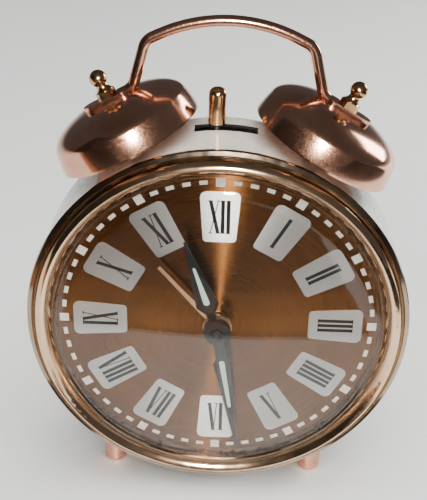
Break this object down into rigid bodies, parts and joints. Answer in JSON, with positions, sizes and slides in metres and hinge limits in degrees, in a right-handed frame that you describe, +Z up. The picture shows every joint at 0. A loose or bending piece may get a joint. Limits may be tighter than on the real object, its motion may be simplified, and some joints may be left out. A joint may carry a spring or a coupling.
{
  "type": "alarm clock",
  "caption": "Wind-up twin-bell alarm clock: round drum case on short feet, domed lens, dial with hands, two leaning bells, hammer and carry handle.",
  "frame": {"origin": "middle of the bounding box in plan, on the table plane under the feet", "axes": "+Z up, -Y out of the dial, +X to the right of a person reading the dial"},
  "size_m": [0.1162, 0.056, 0.1534],
  "materials": {
    "case_enamel": "gloss enamel",
    "bezel_brass": "polished with brushed step",
    "crystal_glass": "clear",
    "dial_brown": "circular brushed, brown",
    "surround_dark": "satin",
    "plaque_silver": "satin",
    "plate_steel": "plain",
    "cover_steel": "gloss enamel",
    "screw_steel": "bright",
    "foot_copper": "polished copper",
    "bell_copper": "polished copper",
    "arbor_steel": "bright",
    "finial_brass": "polished",
    "hand_black": "satin black",
    "hand_beige": "satin",
    "gear_brass": "plain",
    "knob_brass": "polished",
    "spring_blue": "blued",
    "lever_steel": "plain"
  },
  "bodies": {
    "root": {"alarm_mainspring": "spring_blue", "back_plate": "plate_steel", "balance_pivot_screws": "screw_steel", "bell_left": "bell_copper", "bell_posts": "arbor_steel", "bell_right": "bell_copper", "bezel_ring": "bezel_brass", "carry_handle": "bell_copper", "case_nuts": "screw_steel", "case_shell": "case_enamel", "crystal": "crystal_glass", "dial": "dial_brown", "dial_support_ring": "plate_steel", "dial_surround": "surround_dark", "finial_left": "finial_brass", "finial_right": "finial_brass", "front_foot_left": "foot_copper", "front_foot_right": "foot_copper", "front_plate": "plate_steel", "hairspring": "spring_blue", "hour_plaques": "plaque_silver", "movement_screws": "screw_steel", "pillar_nuts": "screw_steel", "plate_pillars": "plate_steel", "rear_cover": "cover_steel", "rear_cover_screws": "screw_steel", "rear_foot": "foot_copper", "time_mainspring": "spring_blue"},
    "hand_setting_train": {"centre_arbor": "arbor_steel", "cannon_pinion": "arbor_steel", "minute_hand": "hand_black", "hand_set_knob": "knob_brass"},
    "hour_hand_body": {"hour_wheel": "gear_brass", "hour_hand": "hand_black"},
    "minute_wheel_body": {"minute_wheel": "gear_brass"},
    "alarm_setting_train": {"alarm_set_arbor": "arbor_steel", "alarm_set_knob": "knob_brass"},
    "alarm_hand_body": {"alarm_wheel": "gear_brass", "alarm_hand": "hand_beige"},
    "time_winding": {"time_winding_arbor": "arbor_steel", "time_ratchet_wheel": "arbor_steel", "time_winding_key": "knob_brass"},
    "alarm_winding": {"alarm_winding_arbor": "arbor_steel", "alarm_ratchet_wheel": "arbor_steel", "alarm_winding_key": "knob_brass"},
    "time_great_wheel_body": {"time_great_wheel": "gear_brass"},
    "centre_wheel_body": {"centre_wheel": "gear_brass"},
    "third_wheel_body": {"third_wheel": "gear_brass"},
    "fourth_wheel_body": {"fourth_wheel": "gear_brass"},
    "escape_wheel_body": {"escape_wheel": "gear_brass"},
    "pallet_lever_body": {"pallet_lever": "arbor_steel"},
    "balance_body": {"balance_wheel": "gear_brass"},
    "alarm_great_wheel_body": {"alarm_great_wheel": "gear_brass"},
    "alarm_escape_wheel_body": {"alarm_escape_wheel": "gear_brass"},
    "hammer": {"hammer_arm": "arbor_steel", "hammer_head": "finial_brass"},
    "time_click_body": {"time_click": "arbor_steel"},
    "alarm_click_body": {"alarm_click": "arbor_steel"},
    "alarm_stop": {"alarm_stop_lever": "lever_steel"},
    "regulator": {"regulator_lever": "lever_steel"}
  },
  "joints": [
    {"name": "hand_setting", "type": "hinge", "parent": "root", "child": "hand_setting_train", "pos_m": [0, -0.0034, 0.0632], "axis": [0, 1, 0], "continuous": true},
    {"name": "hour_hand_turn", "type": "hinge", "parent": "root", "child": "hour_hand_body", "pos_m": [0, -0.0034, 0.0632], "axis": [0, 1, 0], "continuous": true},
    {"name": "minute_wheel_turn", "type": "hinge", "parent": "root", "child": "minute_wheel_body", "pos_m": [-0.012, -0.0034, 0.0632], "axis": [0, 1, 0], "continuous": true},
    {"name": "alarm_setting", "type": "hinge", "parent": "root", "child": "alarm_setting_train", "pos_m": [0, -0.0034, 0.0482], "axis": [0, 1, 0], "continuous": true},
    {"name": "alarm_hand_turn", "type": "hinge", "parent": "root", "child": "alarm_hand_body", "pos_m": [0, -0.0034, 0.0632], "axis": [0, 1, 0], "continuous": true},
    {"name": "time_key_winding", "type": "hinge", "parent": "root", "child": "time_winding", "pos_m": [-0.023, -0.0034, 0.0522], "axis": [0, 1, 0], "continuous": true},
    {"name": "alarm_key_winding", "type": "hinge", "parent": "root", "child": "alarm_winding", "pos_m": [0.023, -0.0034, 0.0522], "axis": [0, 1, 0], "continuous": true},
    {"name": "fourth_wheel_turn", "type": "hinge", "parent": "root", "child": "fourth_wheel_body", "pos_m": [-0.0155, -0.0034, 0.08352], "axis": [0, 1, 0], "continuous": true},
    {"name": "third_wheel_turn", "type": "hinge", "parent": "root", "child": "third_wheel_body", "pos_m": [-0.00785, -0.0034, 0.07441], "axis": [0, 1, 0], "continuous": true},
    {"name": "centre_wheel_turn", "type": "hinge", "parent": "root", "child": "centre_wheel_body", "pos_m": [0, -0.0034, 0.0632], "axis": [0, 1, 0], "continuous": true},
    {"name": "time_great_wheel_turn", "type": "hinge", "parent": "root", "child": "time_great_wheel_body", "pos_m": [-0.023, -0.0034, 0.0522], "axis": [0, 1, 0], "continuous": true},
    {"name": "escape_wheel_turn", "type": "hinge", "parent": "root", "child": "escape_wheel_body", "pos_m": [-0.02613, -0.0034, 0.0854], "axis": [0, 1, 0], "continuous": true},
    {"name": "pallet_lever_rock", "type": "hinge", "parent": "root", "child": "pallet_lever_body", "pos_m": [-0.0316, -0.0034, 0.07889], "axis": [0, 1, 0], "range_deg": [-4, 4]},
    {"name": "balance_swing", "type": "hinge", "parent": "root", "child": "balance_body", "pos_m": [-0.03899, -0.0034, 0.07008], "axis": [0, 1, 0], "range_deg": [-220, 220], "stiffness_Nm_per_rad": 0.00002},
    {"name": "alarm_great_wheel_turn", "type": "hinge", "parent": "root", "child": "alarm_great_wheel_body", "pos_m": [0.023, -0.0034, 0.0522], "axis": [0, 1, 0], "continuous": true},
    {"name": "alarm_escape_wheel_turn", "type": "hinge", "parent": "root", "child": "alarm_escape_wheel_body", "pos_m": [0.01643, -0.0034, 0.07024], "axis": [0, 1, 0], "continuous": true},
    {"name": "hammer_strike", "type": "hinge", "parent": "root", "child": "hammer", "pos_m": [0.01263, -0.0034, 0.0784], "axis": [0, 1, 0], "range_deg": [-2.6, 9]},
    {"name": "time_click_lift", "type": "hinge", "parent": "root", "child": "time_click_body", "pos_m": [-0.03221, -0.0034, 0.04885], "axis": [0, 1, 0], "range_deg": [-14, 0], "stiffness_Nm_per_rad": 0.0001},
    {"name": "alarm_click_lift", "type": "hinge", "parent": "root", "child": "alarm_click_body", "pos_m": [0.03221, -0.0034, 0.04885], "axis": [0, 1, 0], "range_deg": [0, 14], "stiffness_Nm_per_rad": 0.0001},
    {"name": "alarm_stop_swing", "type": "hinge", "parent": "root", "child": "alarm_stop", "pos_m": [0.01, -0.0034, 0.0872], "axis": [0, 1, 0], "range_deg": [-16, 16]},
    {"name": "regulator_swing", "type": "hinge", "parent": "root", "child": "regulator", "pos_m": [-0.03899, -0.0034, 0.07008], "axis": [0, 1, 0], "range_deg": [-20, 20]}
  ],
  "couplings": [
    {"joint": "hour_hand_turn", "follows": "hand_setting", "ratio": 0.083333},
    {"joint": "minute_wheel_turn", "follows": "hand_setting", "ratio": -0.33333},
    {"joint": "alarm_hand_turn", "follows": "alarm_setting", "ratio": -0.25},
    {"joint": "third_wheel_turn", "follows": "fourth_wheel_turn", "ratio": -0.13333},
    {"joint": "centre_wheel_turn", "follows": "fourth_wheel_turn", "ratio": 0.016667},
    {"joint": "time_great_wheel_turn", "follows": "fourth_wheel_turn", "ratio": -0.0041667},
    {"joint": "escape_wheel_turn", "follows": "fourth_wheel_turn", "ratio": -8},
    {"joint": "alarm_escape_wheel_turn", "follows": "alarm_great_wheel_turn", "ratio": -7}
  ]
}
